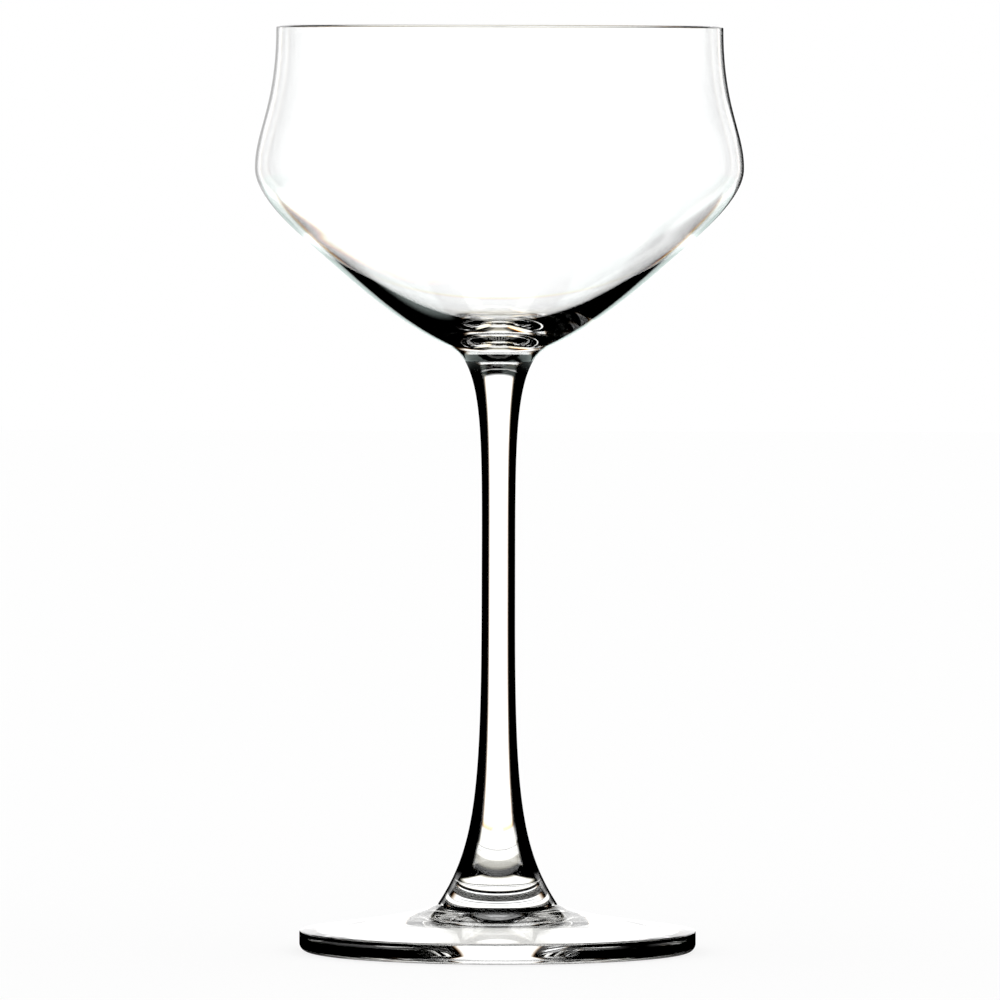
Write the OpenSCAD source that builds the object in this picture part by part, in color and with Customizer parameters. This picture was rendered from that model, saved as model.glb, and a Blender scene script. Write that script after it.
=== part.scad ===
// Coupe glass of clear glass, in three pieces that are fused together while hot:
// a blown bowl that narrows towards its rim, a drawn stem with flared ends, and a pressed foot.
// All lengths are in millimetres. The glass stands on z = 0 and its axis is the Z axis.
// Each outline is turned round that axis. Its angles are degrees out from straight up.

/* [Bowl] */
// Height of the bowl from its joint with the stem to the top of the rim
bowl_h = 65; // [57:0.5:84]
// Outside diameter at the rim
rim_d = 86.8; // [76:0.2:94]
// Outside diameter at the belly, which is the widest place
belly_d = 95; // [88:0.5:106]
// Height of the belly over the joint
belly_h = 37.4; // [33:0.2:44]
// Outside diameter where the belly has turned into the sloping flank
shoulder_d = 76; // [68:0.5:82]
// Height of that place over the joint
shoulder_h = 23.7; // [20:0.1:28]
// Lean of the flank at that place
shoulder_angle = 49; // [42:1:56]
// Outside diameter at the foot of the flank, where the fillet to the stem begins
heel_d = 20.4; // [17:0.2:26]
// Height of the foot of the flank over the joint
heel_h = 3.1; // [2.4:0.1:5]
// Lean of the flank at its foot
heel_angle = 65; // [58:1:72]

/* [Bowl wall] */
// Thickness of the wall at the rounded rim
rim_wall = 1; // [0.7:0.1:1.6]
// Thickness of the wall at the belly
belly_wall = 0.9; // [0.7:0.1:1.6]
// Thickness of the wall at the shoulder
shoulder_wall = 1.2; // [0.8:0.1:2]
// Thickness of the solid base on the axis, over the joint with the stem
base_wall = 5.2; // [3:0.1:7]

/* [Stem] */
// Length of the stem between its two joints
stem_l = 105.5; // [70:0.5:140]
// Diameter at the waist, the thinnest place
waist_d = 6.5; // [5:0.1:9]
// Height of the waist over the lower joint
waist_h = 59; // [35:0.5:66]
// Diameter of the joint with the bowl
top_joint_d = 13.2; // [11:0.1:16]
// Lean of the flare where it meets the bowl
top_joint_angle = 29; // [20:1:36]
// Diameter of the joint with the foot
foot_joint_d = 23.2; // [18:0.1:30]
// Lean of the flare where it meets the foot
foot_joint_angle = 33; // [24:1:42]

/* [Foot] */
// Diameter of the foot
foot_d = 77; // [66:0.5:90]
// Height of the foot at its joint with the stem
foot_h = 9.1; // [7.6:0.1:11]
// Height of the top edge at the rim of the foot
foot_rim_h = 4; // [3:0.1:5]
// Slope of the top near the rim, in degrees from level
foot_slope = 8; // [4:1:12]
// Slope of the raised centre where it meets the stem, in degrees from level
boss_slope = 30; // [20:1:38]
// Radius of the rounded lower edge
lower_round = 1.6; // [0.8:0.1:2.2]
// Radius of the fire-polished upper edge
upper_round = 0.4; // [0.2:0.1:0.7]
// Width of the flat ring that the glass stands on
ring_w = 2.2; // [1.4:0.1:4]
// Height of the hollow underside on the axis
hollow_h = 4; // [2:0.1:4.6]
// Slope of the underside where the hollow begins, in degrees from level
hollow_slope = 9; // [5:1:14]

/* [Hidden] */

// Straight pieces in one bend of an outline, and in the half circle of the lip
bend_steps = 12;
lip_steps = 8;
// Fineness of the turned surfaces in a preview
turn_fn = 120;

// How far each bend holds its first and its last direction, as shares of the distance between its ends
fillet_shares = [0.3, 0.4];
flank_shares = [0.33, 0.38];
belly_shares = [0.24, 0.31];
neck_shares = [0.27, 0.56];
floor_shares = [0.42, 0.3];
lower_flare_shares = [0.22, 0.63];
upper_flare_shares = [0.57, 0.165];
foot_top_shares = [0.5, 0.15];
hollow_shares = [0.4, 0.4];
edge_shares = [0.39, 0.39];

glass_colour = [0.9, 0.94, 0.94, 0.45];

// Unit direction that leans a degrees out from straight up
function lean(a) = [sin(a), cos(a)];
up = lean(0);
down = lean(180);
outwards = lean(90);
inwards = lean(-90);

// Point at share t of a smooth bend from p, left in direction u, to q, reached in direction v
function bend_point(p, u, q, v, shares, t) =
    let (
        d = norm(q - p),
        a = p + shares[0] * d * u,
        b = q - shares[1] * d * v,
        s = 1 - t
    )
    s ^ 3 * p + 3 * s ^ 2 * t * a + 3 * s * t ^ 2 * b + t ^ 3 * q;

// The bend's points after p, up to and with q
function bend(p, u, q, v, shares) =
    [for (i = [1 : bend_steps]) bend_point(p, u, q, v, shares, i / bend_steps)];

// Outside of the bowl
top_joint = [top_joint_d / 2, 0];
heel = [heel_d / 2, heel_h];
shoulder = [shoulder_d / 2, shoulder_h];
belly = [belly_d / 2, belly_h];
lip_r = rim_wall / 2;
rim = [rim_d / 2, bowl_h - lip_r];

// Inside of the bowl
rim_inside = rim + rim_wall * inwards;
belly_inside = belly + belly_wall * inwards;
shoulder_inside = shoulder + shoulder_wall * lean(shoulder_angle - 90);
floor_centre = [0, base_wall];

// Half circle of the lip, over the rim from outside to inside
lip = [for (i = [1 : lip_steps - 1]) rim + lip_r * inwards + lip_r * lean(90 - 180 * i / lip_steps)];

bowl_outline = concat(
    [[0, 0], top_joint],
    bend(top_joint, lean(top_joint_angle), heel, lean(heel_angle), fillet_shares),
    bend(heel, lean(heel_angle), shoulder, lean(shoulder_angle), flank_shares),
    bend(shoulder, lean(shoulder_angle), belly, up, belly_shares),
    bend(belly, up, rim, up, neck_shares),
    lip,
    [rim_inside],
    bend(rim_inside, down, belly_inside, down, [neck_shares[1], neck_shares[0]]),
    bend(belly_inside, down, shoulder_inside, lean(shoulder_angle - 180), [belly_shares[1], belly_shares[0]]),
    bend(shoulder_inside, lean(shoulder_angle - 180), floor_centre, inwards, floor_shares)
);

// Stem, from its joint with the foot to its joint with the bowl
stem_bottom = [foot_joint_d / 2, 0];
waist = [waist_d / 2, waist_h];
stem_top = [top_joint_d / 2, stem_l];

stem_outline = concat(
    [[0, 0], stem_bottom],
    bend(stem_bottom, lean(-foot_joint_angle), waist, up, lower_flare_shares),
    bend(waist, up, stem_top, lean(top_joint_angle), upper_flare_shares),
    [[0, stem_l]]
);

// Foot, from the hollow underside over the rim to the raised centre
foot_r = foot_d / 2;
ring_outside = [foot_r - lower_round, 0];
ring_inside = ring_outside + ring_w * inwards;
hollow_centre = [0, hollow_h];
side_bottom = [foot_r, lower_round];
side_top = [foot_r, foot_rim_h - upper_round];
top_edge = [foot_r - upper_round, foot_rim_h];
boss = [foot_joint_d / 2, foot_h];

foot_outline = concat(
    [hollow_centre],
    bend(hollow_centre, outwards, ring_inside, lean(90 + hollow_slope), hollow_shares),
    [ring_outside],
    bend(ring_outside, outwards, side_bottom, up, edge_shares),
    [side_top],
    bend(side_top, up, top_edge, lean(foot_slope - 90), edge_shares),
    bend(top_edge, lean(foot_slope - 90), boss, lean(boss_slope - 90), foot_top_shares),
    [[0, foot_h]]
);

module turned(outline) {
    rotate_extrude($fn = turn_fn) polygon(outline);
}

module bowl() {
    color(glass_colour) translate([0, 0, foot_h + stem_l]) turned(bowl_outline);
}

module stem() {
    color(glass_colour) translate([0, 0, foot_h]) turned(stem_outline);
}

module foot() {
    color(glass_colour) turned(foot_outline);
}

bowl();
stem();
foot();
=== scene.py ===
import math

import bpy
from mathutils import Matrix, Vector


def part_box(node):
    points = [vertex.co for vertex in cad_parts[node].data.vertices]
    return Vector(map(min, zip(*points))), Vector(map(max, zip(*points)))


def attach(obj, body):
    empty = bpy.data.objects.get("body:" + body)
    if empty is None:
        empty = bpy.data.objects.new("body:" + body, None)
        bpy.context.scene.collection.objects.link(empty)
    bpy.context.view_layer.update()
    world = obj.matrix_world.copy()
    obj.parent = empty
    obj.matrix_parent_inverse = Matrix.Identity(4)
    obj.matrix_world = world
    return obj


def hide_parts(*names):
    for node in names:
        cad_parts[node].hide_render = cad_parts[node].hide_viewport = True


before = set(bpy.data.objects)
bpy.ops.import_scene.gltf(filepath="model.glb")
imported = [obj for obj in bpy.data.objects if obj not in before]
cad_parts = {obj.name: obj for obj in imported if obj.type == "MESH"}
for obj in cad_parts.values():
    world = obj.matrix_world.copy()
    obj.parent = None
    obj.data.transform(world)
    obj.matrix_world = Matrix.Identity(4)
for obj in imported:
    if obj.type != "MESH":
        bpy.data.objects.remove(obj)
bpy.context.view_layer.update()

# Bowl: clear glass, blown into a turning mould, with a thin wall and a fire-polished rim.
# Its wall thickens towards the base, which is fused to the top of the stem while hot.
# The outline's bends keep the directions and shares of the solid's own source.


def lean(degrees):
    """Unit direction in the outline's plane, leaning outwards from straight up."""
    turn = math.radians(degrees)
    return (math.sin(turn), math.cos(turn))


UP = lean(0)
DOWN = lean(180)
OUTWARDS = lean(90)
INWARDS = lean(-90)


def bend(start, leaving, end, arriving, shares):
    """One smooth bend of an outline, as the four control points of a Bezier curve."""
    reach = math.dist(start, end)
    first = [p + shares[0] * reach * u for p, u in zip(start, leaving)]
    second = [p - shares[1] * reach * u for p, u in zip(end, arriving)]
    return (start, first, second, end)


def straight(start, end):
    """One straight stretch of an outline, in the same form."""
    return (start, start, end, end)


scene = bpy.context.scene


def outline_curve(name, stretches, steps):
    """The outline as one open Bezier spline in the XZ plane, cut into that many steps a stretch."""
    curve = bpy.data.curves.new(name, "CURVE")
    curve.dimensions = "3D"
    curve.resolution_u = steps
    points = curve.splines.new("BEZIER").bezier_points
    points.add(len(stretches))
    for point in points:
        point.handle_left_type = point.handle_right_type = "FREE"
    for i, (start, first, second, end) in enumerate(stretches):
        points[i].co = (start[0], 0, start[1])
        points[i].handle_right = (first[0], 0, first[1])
        points[i + 1].handle_left = (second[0], 0, second[1])
        points[i + 1].co = (end[0], 0, end[1])
    points[0].handle_left = points[0].co
    points[-1].handle_right = points[-1].co
    made = bpy.data.objects.new(name, curve)
    scene.collection.objects.link(made)
    return made


class Wire:
    """A node's socket that takes part in sums: each operator adds its Math node."""

    def __init__(self, socket):
        self.socket = socket
        self.tree = socket.id_data

    def __add__(self, other):
        return maths("ADD", self, other)

    def __radd__(self, other):
        return maths("ADD", other, self)

    def __sub__(self, other):
        return maths("SUBTRACT", self, other)

    def __rsub__(self, other):
        return maths("SUBTRACT", other, self)

    def __mul__(self, other):
        return maths("MULTIPLY", self, other)

    def __rmul__(self, other):
        return maths("MULTIPLY", other, self)

    def __truediv__(self, other):
        return maths("DIVIDE", self, other)

    def __rtruediv__(self, other):
        return maths("DIVIDE", other, self)

    def __gt__(self, other):
        return maths("GREATER_THAN", self, other)

    def __lt__(self, other):
        return maths("LESS_THAN", self, other)


def feed(plug, value):
    """Links a wire or a socket to an input, or sets the input's own value."""
    if isinstance(value, Wire):
        value = value.socket
    if isinstance(value, bpy.types.NodeSocket):
        plug.id_data.links.new(value, plug)
    else:
        plug.default_value = value


def add_node(tree, kind, settings=None, **inputs):
    """Adds a node: its settings first, then the values or links of its sockets.

    A socket goes by its name, with _ for each space, or by _ and its number.
    """
    node = tree.nodes.new(kind)
    for key, value in (settings or {}).items():
        setattr(node, key, value)
    for key, value in inputs.items():
        number = key[1:]
        feed(node.inputs[int(number) if number.isdigit() else key.replace("_", " ")], value)
    return node


def maths(operation, *values):
    """A Math node on wires and numbers."""
    tree = next(value.tree for value in values if isinstance(value, Wire))
    inputs = {f"_{number}": value for number, value in enumerate(values)}
    return Wire(add_node(tree, "ShaderNodeMath", {"operation": operation}, **inputs).outputs[0])


def turning_tree():
    """Turns an outline round the Z axis: a grid whose rows are its points and whose columns go round."""
    tree = bpy.data.node_groups.new("turned_glass", "GeometryNodeTree")
    kinds = {"Outline": "Object", "Sides": "Int", "Weld distance": "Float", "Glass": "Material"}
    identifiers = {}
    for name, kind in kinds.items():
        socket = tree.interface.new_socket(name, in_out="INPUT", socket_type="NodeSocket" + kind)
        identifiers[name] = socket.identifier
    tree.interface.new_socket("Geometry", in_out="OUTPUT", socket_type="NodeSocketGeometry")
    source = add_node(tree, "NodeGroupInput").outputs
    outline = add_node(tree, "GeometryNodeObjectInfo", Object=source["Outline"])
    points = add_node(tree, "GeometryNodeCurveToMesh", Curve=outline.outputs["Geometry"]).outputs[0]
    size = add_node(tree, "GeometryNodeAttributeDomainSize", Geometry=points)
    rows = Wire(size.outputs["Point Count"])
    grid_side = 1.0
    grid = add_node(tree, "GeometryNodeMeshGrid", Size_X=grid_side, Size_Y=grid_side,
                    Vertices_X=Wire(source["Sides"]) + 1, Vertices_Y=rows)
    place = add_node(tree, "GeometryNodeInputPosition").outputs[0]
    x, y, _ = (Wire(part) for part in add_node(tree, "ShaderNodeSeparateXYZ", Vector=place).outputs)
    row = maths("ROUND", (y + grid_side / 2) * (rows - 1))
    spread = add_node(tree, "GeometryNodeSampleIndex", {"data_type": "FLOAT_VECTOR"}, Geometry=points,
                      Value=place, Index=row)
    turned = add_node(tree, "ShaderNodeVectorRotate", {"rotation_type": "Z_AXIS"},
                      Vector=spread.outputs[0], Angle=x * math.tau)
    shaped = add_node(tree, "GeometryNodeSetPosition", Geometry=grid.outputs["Mesh"],
                      Position=turned.outputs[0])
    welded = add_node(tree, "GeometryNodeMergeByDistance", Geometry=shaped.outputs[0],
                      Distance=source["Weld distance"])
    single = add_node(tree, "GeometryNodeRealizeInstances", Geometry=welded.outputs[0])
    finished = add_node(tree, "GeometryNodeSetMaterial", Geometry=single.outputs[0],
                        Material=source["Glass"])
    add_node(tree, "NodeGroupOutput", _0=finished.outputs[0])
    return tree, identifiers


TURNING, TURNING_INPUTS = turning_tree()
weld_distance = 1e-7
sharp_angle = math.radians(25)


def turned_piece(name, stretches, steps, sides, glass):
    """A plain mesh turned from an outline, which starts low on the axis so that its faces point outwards."""
    outline = outline_curve(name + "_outline", stretches, steps)
    piece = bpy.data.objects.new(name, bpy.data.meshes.new(name))
    scene.collection.objects.link(piece)
    nodes = piece.modifiers.new("turn", "NODES")
    nodes.node_group = TURNING
    values = {"Outline": outline, "Sides": sides, "Weld distance": weld_distance, "Glass": glass}
    for key, value in values.items():
        nodes[TURNING_INPUTS[key]] = value
    bpy.context.view_layer.update()
    evaluated = piece.evaluated_get(bpy.context.evaluated_depsgraph_get())
    mesh = bpy.data.meshes.new_from_object(evaluated)
    piece.modifiers.clear()
    piece.data = mesh
    mesh.name = name
    bpy.data.objects.remove(outline)
    mesh.materials.clear()
    mesh.materials.append(glass)
    for face in mesh.polygons:
        face.use_smooth = True
        face.material_index = 0
    mesh.set_sharp_from_angle(angle=sharp_angle)
    return piece


def soft_step(value, low, high):
    """0 below low, 1 above high, smooth between."""
    node = add_node(value.tree, "ShaderNodeMapRange", {"interpolation_type": "SMOOTHSTEP"}, Value=value,
                    From_Min=low, From_Max=high, To_Min=0.0, To_Max=1.0)
    return Wire(node.outputs[0])


def fade(value, low, high):
    """1 below low, 0 above high, smooth between."""
    return 1 - soft_step(value, low, high)


def highest(first, *others):
    """The highest of some wires."""
    for other in others:
        first = maths("MAXIMUM", first, other)
    return first


def mix_colours(share, first, second, blend="MIX"):
    """Mixes the second colour into the first by that share, or multiplies the first by it."""
    node = add_node(share.tree, "ShaderNodeMix", {"data_type": "RGBA", "blend_type": blend}, _0=share,
                    _6=first, _7=second)
    return node.outputs[2]


def mix_shaders(share, first, second):
    """The first shader where share is 0, the second where it is 1."""
    return add_node(share.tree, "ShaderNodeMixShader", _0=share, _1=first, _2=second).outputs[0]


def new_material(name):
    """A material that works by nodes."""
    made = bpy.data.materials.new(name)
    made.use_nodes = True
    return made


# Finish of the glass: its tint, the share of it that is left in the striae, and its wiping marks
refractive_index = 1.52
glass_tint = (0.99, 0.995, 0.995)
striae_share = 0.985
striae_stretch = (1, 1, 0.2)
wiping_noise = (0.5, 0.75)
wiped_roughness = 0.012
# Upward part of the normal: of faces that look down, and where the wide and fine painted dark edges (painted
# shade) end
underside_rise = (-0.75, -0.35)
wide_painted_edge_rise = (0.39, 0.43)
fine_painted_edge_rise = (0.6, 0.75)
# Slants of a fine painted dark edge (painted shade), from 0 where the eye's ray grazes the glass to 1 where
# it meets it squarely
fine_painted_edge = (0.25, 0.45)
# Colour of the painted shade at a thin wall's outline
painted_shade_colour = (0.003, 0.003, 0.003, 1)
streak_blur = 0.0002


def clear_glass(name, edge, ripple, solid=True, streak=None):
    """Clear glass with faint striae, wiping marks and ripples of that depth.

    Its outline is painted dark up to the two slants of edge. This painted shade stands in for the dark edges
    that bright-field light gives glass: a near-black colour on a thin wall, and mixed-in black on solid
    glass.
    Between the two heights of streak, a fine line is left free of the painted shade.
    """
    made = new_material(name)
    tree = made.node_tree
    glass = tree.nodes["Principled BSDF"]
    feed(glass.inputs["IOR"], refractive_index)
    feed(glass.inputs["Transmission Weight"], 1.0)
    coord = add_node(tree, "ShaderNodeTexCoord").outputs
    place = coord["Object"]
    normal = coord["Normal"]
    drawn = add_node(tree, "ShaderNodeVectorMath", {"operation": "MULTIPLY"}, _0=place, _1=striae_stretch)
    striae = add_node(tree, "ShaderNodeTexNoise", Vector=drawn.outputs[0], Scale=90.0, Detail=3.0)
    wiping = add_node(tree, "ShaderNodeTexNoise", Vector=place, Scale=45.0, Detail=4.0, Roughness=0.6)
    swell = add_node(tree, "ShaderNodeTexNoise", Vector=place, Scale=55.0, Detail=1.0)
    feed(glass.inputs["Roughness"], soft_step(Wire(wiping.outputs[0]), *wiping_noise) * wiped_roughness)
    relief = add_node(tree, "ShaderNodeBump", Strength=1.0, Distance=ripple, Height=swell.outputs[0])
    feed(glass.inputs["Normal"], relief.outputs[0])
    denser = [striae_share * part for part in glass_tint]
    body = mix_colours(Wire(striae.outputs[0]), (*denser, 1), (*glass_tint, 1))

    # Painted shade: dark is mixed in by Layer Weight where the eye's ray grazes the outline, for the dark
    # edges of bright-field light
    slant = add_node(tree, "ShaderNodeLayerWeight", Blend=0.5)
    across = 1 - Wire(slant.outputs["Facing"])
    rise = Wire(add_node(tree, "ShaderNodeSeparateXYZ", Vector=normal).outputs["Z"])
    radial = add_node(tree, "ShaderNodeVectorMath", {"operation": "MULTIPLY"}, _0=place, _1=(1, 1, 0))
    outwards = add_node(tree, "ShaderNodeVectorMath", {"operation": "DOT_PRODUCT"}, _0=normal,
                        _1=radial.outputs[0])
    leaving = Wire(add_node(tree, "ShaderNodeNewGeometry").outputs["Backfacing"])
    outside = (Wire(outwards.outputs["Value"]) > 0.0) * (1 - leaving) * soft_step(rise, *underside_rise)
    if not solid:
        # Thin wall: the painted shade goes into the colour, near black at the outline
        painted_shade_mask = fade(across, *edge) * outside
        feed(glass.inputs["Base Color"], mix_colours(painted_shade_mask, body, painted_shade_colour))
        return made
    feed(glass.inputs["Base Color"], body)
    across = across / maths("SQRT", 1 - rise * rise)
    wide = fade(across, *edge) * outside * fade(rise, *wide_painted_edge_rise)
    fine = fade(across, *fine_painted_edge) * outside
    if streak:
        low, high = streak
        height = Wire(add_node(tree, "ShaderNodeSeparateXYZ", Vector=place).outputs["Z"])
        clear = soft_step(height, low, low + streak_blur) * fade(height, high - streak_blur, high)
        wide = wide * (1 - clear)
    painted_shade_mask = highest(wide, fine) * fade(rise, *fine_painted_edge_rise)
    # Solid glass: the painted shade is a black matt shader mixed in at the outline
    painted_shade_black = add_node(tree, "ShaderNodeBsdfDiffuse", Color=(0, 0, 0, 1))
    surface = mix_shaders(painted_shade_mask, glass.outputs[0], painted_shade_black.outputs[0])
    feed(tree.nodes["Material Output"].inputs["Surface"], surface)
    return made


# The face where two pieces are fused: light passes it straight
joint_face = new_material("fused_joint")
joint_tree = joint_face.node_tree
joint_tree.nodes.remove(joint_tree.nodes["Principled BSDF"])
straight_through = add_node(joint_tree, "ShaderNodeBsdfTransparent")
feed(joint_tree.nodes["Material Output"].inputs["Surface"], straight_through.outputs[0])
same_height = 1e-6
level_normal = 0.999


def fuse_face(piece, height):
    """Makes the flat face at that height a fused one."""
    mesh = piece.data
    if joint_face.name not in mesh.materials:
        mesh.materials.append(joint_face)
    joint_slot = mesh.materials.find(joint_face.name)
    for face in mesh.polygons:
        if abs(face.center.z - height) < same_height and abs(face.normal.z) > level_normal:
            face.material_index = joint_slot


bowl_low, bowl_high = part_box("bowl")
top_level = bowl_low.z
rim_level = bowl_high.z
rim_r = 0.0434
belly_r = 0.0475
belly_h = 0.0374
shoulder_r = 0.038
shoulder_h = 0.0237
heel_r = 0.0102
heel_h = 0.0031
top_joint_r = 0.0066
rim_wall = 0.001
belly_wall = 0.0009
shoulder_wall = 0.0012
base_wall = 0.0052
top_joint_lean = lean(29)
heel_lean = lean(65)
shoulder_angle = 49
shoulder_lean = lean(shoulder_angle)
shoulder_back = lean(shoulder_angle - 180)
shoulder_inwards = lean(shoulder_angle - 90)
fillet_shares = (0.3, 0.4)
flank_shares = (0.33, 0.38)
belly_shares = (0.24, 0.31)
neck_shares = (0.27, 0.56)
floor_shares = (0.42, 0.3)
edge_shares = (0.39, 0.39)

lip_r = rim_wall / 2
rim = (rim_r, rim_level - lip_r)
rim_top = (rim_r - lip_r, rim_level)
rim_in = (rim_r - rim_wall, rim_level - lip_r)
belly = (belly_r, top_level + belly_h)
belly_in = (belly_r - belly_wall, top_level + belly_h)
shoulder = (shoulder_r, top_level + shoulder_h)
shoulder_in = [p + shoulder_wall * u for p, u in zip(shoulder, shoulder_inwards)]
floor_in = (0, top_level + base_wall)
heel = (heel_r, top_level + heel_h)
top_joint = (top_joint_r, top_level)

bowl_stretches = [
    straight((0, top_level), top_joint),
    bend(top_joint, top_joint_lean, heel, heel_lean, fillet_shares),
    bend(heel, heel_lean, shoulder, shoulder_lean, flank_shares),
    bend(shoulder, shoulder_lean, belly, UP, belly_shares),
    bend(belly, UP, rim, UP, neck_shares),
    bend(rim, UP, rim_top, INWARDS, edge_shares),
    bend(rim_top, INWARDS, rim_in, DOWN, edge_shares),
    bend(rim_in, DOWN, belly_in, DOWN, neck_shares[::-1]),
    bend(belly_in, DOWN, shoulder_in, shoulder_back, belly_shares[::-1]),
    bend(shoulder_in, shoulder_back, floor_in, INWARDS, floor_shares),
]
# The bowl's outer wall is painted dark where the eye's ray grazes it (painted shade)
bowl_glass = clear_glass("bowl_glass", edge=(0.13, 0.24), ripple=0.000004, solid=False)
bowl = turned_piece("coupe_bowl", bowl_stretches, steps=30, sides=288, glass=bowl_glass)
fuse_face(bowl, top_level)
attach(bowl, "root")
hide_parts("bowl")

# Stem: solid clear glass, drawn out while hot, with a flare at each end.
# It is fused to the bowl above and to the foot below, so light passes both joints straight.
# Its many rows keep the long bend smooth, since a solid rod works as a strong lens.
foot_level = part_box("foot")[1].z
waist_r = 0.00325
waist_h = 0.059
foot_joint_r = 0.0116
foot_joint_angle = 33
lower_flare_shares = (0.22, 0.63)
upper_flare_shares = (0.57, 0.165)
stem_bottom = (foot_joint_r, foot_level)
waist = (waist_r, foot_level + waist_h)
stem_stretches = [
    straight((0, foot_level), stem_bottom),
    bend(stem_bottom, lean(-foot_joint_angle), waist, UP, lower_flare_shares),
    bend(waist, UP, top_joint, top_joint_lean, upper_flare_shares),
    straight(top_joint, (0, top_level)),
]
# The stem's sides are painted dark over the outer part of their width (painted shade)
stem_glass = clear_glass("stem_glass", edge=(0.77, 0.84), ripple=0.000001)
stem = turned_piece("coupe_stem", stem_stretches, steps=96, sides=96, glass=stem_glass)
fuse_face(stem, top_level)
fuse_face(stem, foot_level)
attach(stem, "root")
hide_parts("stem")

# Foot: pressed clear glass with a raised centre and a fire-polished rim, fused to the stem.
# Its underside is hollow, so it stands on a narrow flat ring just inside the rounded edge.
foot_r = 0.0385
foot_rim_h = 0.004
lower_round = 0.0016
upper_round = 0.0004
ring_w = 0.0022
hollow_h = 0.004
hollow_slope = 9
foot_slope = 8
boss_slope = 30
hollow_shares = (0.4, 0.4)
foot_top_shares = (0.5, 0.15)
hollow_centre = (0, hollow_h)
ring_outside = (foot_r - lower_round, 0)
ring_inside = (foot_r - lower_round - ring_w, 0)
side_bottom = (foot_r, lower_round)
side_top = (foot_r, foot_rim_h - upper_round)
top_edge = (foot_r - upper_round, foot_rim_h)
top_edge_lean = lean(foot_slope - 90)
foot_stretches = [
    bend(hollow_centre, OUTWARDS, ring_inside, lean(90 + hollow_slope), hollow_shares),
    straight(ring_inside, ring_outside),
    bend(ring_outside, OUTWARDS, side_bottom, UP, edge_shares),
    straight(side_bottom, side_top),
    bend(side_top, UP, top_edge, top_edge_lean, edge_shares),
    bend(top_edge, top_edge_lean, stem_bottom, lean(boss_slope - 90), foot_top_shares),
    straight(stem_bottom, (0, foot_level)),
]
# Most of the foot's rim is painted dark (painted shade), with a fine clear line between the two heights
foot_glass = clear_glass("foot_glass", edge=(0.9, 0.97), ripple=0.000002, streak=(0.0025, 0.0032))
foot = turned_piece("coupe_foot", foot_stretches, steps=36, sides=192, glass=foot_glass)
fuse_face(foot, foot_level)
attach(foot, "root")
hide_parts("foot")

# Floor: a plain pale table, which the camera sees as white with a soft shadow.
# Rays from the glass see it painted dark, with painted pools of light that glow, which give the foot its
# bright and dark bands.
# Further out it is clear to those rays, so that they meet the studio round it.
floor_half = 3.0
floor_drop = 0.0001
floor_colour = (0.95, 0.95, 0.95, 1)
glow_share = 0.8
# Glow and colours of the painted pools of light
painted_pool_strength = 1.3
painted_pool_edge_colour = (1, 0.93, 0.72, 1)
painted_pool_colour = (1, 0.99, 0.96, 1)
# Directions on the floor, in degrees: the middle, the half width and the softness of each edge.
# Straight behind the glass is 0, and straight in front of it 180.
behind_window = (0, 24, 3)
corner_window = (0, 47, 3)
inner_window = (0, 30, 3)
front_window = (180, 40, 4)
# Radii on the floor, in metres: where a painted pool of light starts or ends, from its first change to its
# last
inner_start = (0.0052, 0.0068)
inner_end = (0.0102, 0.0114)
front_start = (0.014, 0.0155)
plate_start = (0.0195, 0.0235)
behind_rise = (0.026, 0.037)
behind_low_share = 0.35
grazing_end = (0.0335, 0.036)
beside_end = (0.0358, 0.0375)
corner_start = (0.0375, 0.0405)
dark_end = (0.048, 0.054)
strip_end = (0.072, 0.08)
mirrored_end = (0.066, 0.078)
# How flat a ray meets the floor, from 0 straight down to 1 along it
steep_slant = (0.3, 0.4)
grazing_slant = (0.46, 0.53)
flat_slant = (0.68, 0.74)
half_turn = 180.0


def compass(tree, coordinates):
    """Wires of X, Y and Z, and of the azimuth in degrees: 0 straight behind the glass, 90 on its right."""
    place = add_node(tree, "ShaderNodeTexCoord").outputs[coordinates]
    x, y, z = (Wire(part) for part in add_node(tree, "ShaderNodeSeparateXYZ", Vector=place).outputs)
    return x, y, z, maths("ARCTAN2", x, y) * math.degrees(1)


def window(azimuth, middle, half, softness):
    """1 up to half the width on both sides of the middle, 0 beyond, with soft edges."""
    turn = maths("ABSOLUTE", maths("WRAP", azimuth - middle, half_turn, -half_turn))
    return fade(turn, half - softness, half + softness)


def ray_kinds(tree):
    """Wires that are 1 on rays from the camera, from a matt face, through the glass and mirrored by it."""
    path = add_node(tree, "ShaderNodeLightPath").outputs
    through = Wire(path["Is Transmission Ray"])
    return (Wire(path["Is Camera Ray"]), Wire(path["Is Diffuse Ray"]), through,
            Wire(path["Is Glossy Ray"]) * (1 - through))


floor_with_painted_light = new_material("floor_with_painted_light")
tree = floor_with_painted_light.node_tree
tree.nodes.remove(tree.nodes["Principled BSDF"])
x, y, _, azimuth = compass(tree, "Object")
radius = maths("SQRT", x * x + y * y)
slant = Wire(add_node(tree, "ShaderNodeLayerWeight", Blend=0.5).outputs["Facing"])
straight_behind = window(azimuth, *behind_window)
corners = window(azimuth, *corner_window) * fade(slant, *steep_slant) * soft_step(radius, *corner_start)
behind = highest(straight_behind * fade(slant, *flat_slant), corners) * soft_step(radius, *plate_start)
behind = behind * (behind_low_share + (1 - behind_low_share) * soft_step(radius, *behind_rise))
inner = soft_step(radius, *inner_start) * fade(radius, *inner_end) * window(azimuth, *inner_window)
front = window(azimuth, *front_window) * soft_step(radius, *front_start)
grazing = soft_step(slant, *grazing_slant) * fade(radius, *grazing_end)
beside = soft_step(radius, *plate_start) * fade(radius, *beside_end) * (1 - straight_behind)
painted_light_pools = highest(behind, inner, front, grazing, beside)
close = highest(fade(radius, *dark_end), straight_behind * fade(radius, *strip_end))

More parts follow.
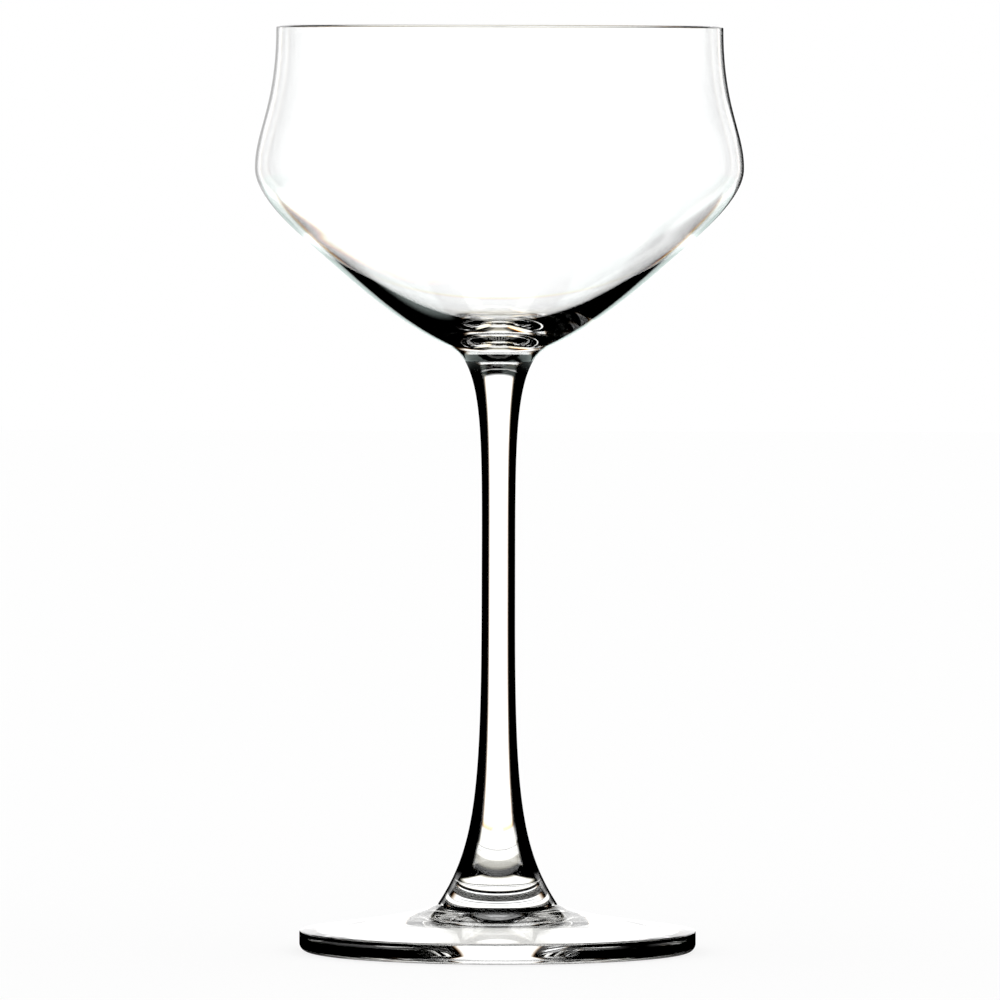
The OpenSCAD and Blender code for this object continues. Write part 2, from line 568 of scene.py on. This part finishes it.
matt = add_node(tree, "ShaderNodeBsdfDiffuse", Color=floor_colour).outputs[0]
glow = add_node(tree, "ShaderNodeEmission", Strength=1.0).outputs[0]
# Painted dark and painted pools of light, which only rays through the glass or mirrored by it see
dark = add_node(tree, "ShaderNodeEmission", Strength=0.0).outputs[0]
clear = add_node(tree, "ShaderNodeBsdfTransparent").outputs[0]
painted_light_pool = add_node(tree, "ShaderNodeEmission", Color=mix_colours(painted_light_pools, painted_pool_edge_colour, painted_pool_colour),
                Strength=painted_pool_strength).outputs[0]
from_camera, _, through_glass, off_glass = ray_kinds(tree)
plain = mix_shaders(from_camera * glow_share, matt, glow)
under_glass = mix_shaders(close, clear, mix_shaders(painted_light_pools, dark, painted_light_pool))
# Near the glass, mirrored rays see the floor painted dark
under_glass = mix_shaders(off_glass * fade(radius, *mirrored_end), under_glass, dark)
floor_surface = mix_shaders(highest(through_glass, off_glass), plain, under_glass)
feed(tree.nodes["Material Output"].inputs["Surface"], floor_surface)

floor_mesh = bpy.data.meshes.new("studio_floor")
corners_xy = ((-1, -1), (1, -1), (1, 1), (-1, 1))
floor_mesh.from_pydata([(x * floor_half, y * floor_half, 0) for x, y in corners_xy], [], [(0, 1, 2, 3)])
floor_mesh.materials.append(floor_with_painted_light)
floor = bpy.data.objects.new("studio_floor", floor_mesh)
scene.collection.objects.link(floor)
floor.location.z = -floor_drop

# Studio: a white background, and bright panels that are seen only through the glass and in it.
# They stand behind it, on its left, high behind it and low in front on its right, with dark between.
# The camera and the matt floor see plain white, so no panel adds light to the object.
studio_strength = 1.4
white_strength = 1.0
# Shift of the panels' edges for red, green and blue, in degrees, and the share of it at their sides
fringes = (0.7, 0.0, -0.7)
side_fringe_share = 0.4
# Windows hold the azimuth of the middle, the half width and the softness, and starts and ends hold
# the elevations of the first and the last change. All are in degrees.
back_start = (-20, -16.5)
panels = (
    {"sides": (0, 24, 3), "start": back_start, "end": (21.5, 26.5), "fringe_share": 1},
    {"sides": (-90, 15, 3), "start": (-17, -11), "end": (21.5, 26.5), "fringe_share": 0},
    {"sides": (135, 24, 3), "start": (-73, -67), "end": (-11.5, -6.5), "fringe_share": 0},
)
overhead_window = (0, 20, 5)
overhead_start = (56, 59)
overhead_end = (64, 67)
overhead_share = 0.3
# The pale table beyond the dark floor: behind the glass it dims downwards, with a faint patch lower down.
# On the left it is bright, and on the right it shows only low down.
table_end = (-18, -14)
ahead_window = (0, 9, 4)
ahead_rise = (-48, -24)
ahead_low_share = 0.3
faint_window = (0, 18, 3)
faint_fall = (-62, -54)
faint_share = 0.6
faint_loss = 0.5
faint_end = (-42, -34)
left_window = (-44, 24, 2)
left_end = (-23, -17)
left_fringe = 2
right_window = (48, 17, 2)
right_end = (-42, -36)
table_warmth_end = (-45, -22)
table_tint = (1, 0.94, 0.77, 1)
# What the glass mirrors: pale panels behind it and at both sides, all with one top, and two darker strips
mirrored_whole = (0, 75, 10)
mirrored_middle = (2.5, 31, 3)
mirrored_sides = ((-90, 30, 10), (135, 30, 10))
mirrored_top = (18.9, 20.3)
strip_start = (-10, -8)
strip_top = (3.5, 5)
dark_strip = (16, 8, 1.5)
dim_strip = (-15, 8, 2)
dim_share = 0.4
cool_end = (-10, -6)
cool_tint = (0.86, 1, 0.96, 1)

world = bpy.data.worlds.new("studio")
scene.world = world
world.use_nodes = True
tree = world.node_tree
_, _, z, azimuth = compass(tree, "Generated")
elevation = maths("ARCSINE", z) * math.degrees(1)


def table(fringe):
    """Brightness of the table for one colour."""
    ahead = window(azimuth, *ahead_window)
    ahead = ahead * (ahead_low_share + (1 - ahead_low_share) * soft_step(elevation, *ahead_rise))
    faint = window(azimuth, *faint_window) * fade(elevation, *faint_end)
    faint = faint * (faint_share - faint_loss * soft_step(elevation, *faint_fall))
    middle, half, softness = left_window
    left = window(azimuth, middle, half + left_fringe * fringe, softness) * fade(elevation, *left_end)
    right = window(azimuth, *right_window) * fade(elevation, *right_end)
    return highest(ahead, faint, left, right) * fade(elevation, *table_end)


def panel(fringe, sides, start, end, fringe_share):
    """Brightness of one panel for one colour."""
    middle, half, softness = sides
    across = window(azimuth, middle, half + side_fringe_share * fringe, softness)
    low, high = (height - fringe_share * fringe for height in start)
    return across * soft_step(elevation, low, high) * fade(elevation, *end)


def channel(fringe):
    """Brightness of the whole studio for one colour."""
    overhead = soft_step(elevation, *overhead_start) * fade(elevation, *overhead_end)
    overhead = overhead_share * overhead * window(azimuth, *overhead_window)
    return highest(table(fringe), *(panel(fringe, **one) for one in panels), overhead)


red, green, blue = (channel(fringe) for fringe in fringes)
seen_through = add_node(tree, "ShaderNodeCombineColor", _0=red, _1=green, _2=blue).outputs[0]
seen_through = mix_colours(fade(elevation, *table_warmth_end), seen_through, table_tint, "MULTIPLY")
at_strips = soft_step(elevation, *strip_start) * fade(elevation, *strip_top)
gap = window(azimuth, *dark_strip) * at_strips
dim = window(azimuth, *dim_strip) * at_strips * dim_share
mirrored = highest(soft_step(elevation, *back_start), 1 - window(azimuth, *mirrored_middle))
mirrored = mirrored * window(azimuth, *mirrored_whole)
mirrored = highest(mirrored, *(window(azimuth, *side) for side in mirrored_sides))
mirrored = mirrored * fade(elevation, *mirrored_top) * (1 - gap) * (1 - dim)
mirrored = add_node(tree, "ShaderNodeCombineColor", _0=mirrored, _1=mirrored, _2=mirrored).outputs[0]
mirrored = mix_colours(fade(elevation, *cool_end), mirrored, cool_tint, "MULTIPLY")
from_camera, from_matt, _, off_glass = ray_kinds(tree)
studio = tree.nodes["Background"]
feed(studio.inputs["Color"], mix_colours(off_glass, seen_through, mirrored))
feed(studio.inputs["Strength"], studio_strength)
white = add_node(tree, "ShaderNodeBackground", Color=(1, 1, 1, 1), Strength=white_strength)
shown = mix_shaders(highest(from_camera, from_matt), studio.outputs[0], white.outputs[0])
feed(tree.nodes["World Output"].inputs["Surface"], shown)

scene.cycles.max_bounces = 24
scene.cycles.transmission_bounces = 24
scene.cycles.glossy_bounces = 12
scene.cycles.transparent_max_bounces = 16
scene.view_settings.view_transform = "Standard"

# Camera: far off and a little higher than the rim, as in the photograph, so the foot's top shows.
# It aims at the middle of the picture, whose height over the table is counted in pixels.
frame_px = 1000
table_px = 952
px_per_m = 5158
distance = 2.6
camera_z = 0.1887
camera_roll = math.radians(-0.15)
sensor_width = 36
aim_z = (table_px - frame_px / 2) / px_per_m
pitch = math.atan((camera_z - aim_z) / distance)
camera_data = bpy.data.cameras.new("camera")
camera_data.sensor_width = sensor_width
camera_data.lens = px_per_m * distance / frame_px * sensor_width
camera_data.clip_start = 0.1
camera_data.clip_end = 50
camera = bpy.data.objects.new("camera", camera_data)
camera.location = (0, -distance, camera_z)
camera.rotation_euler = (math.pi / 2 - pitch, camera_roll, 0)
scene.collection.objects.link(camera)
scene.camera = camera
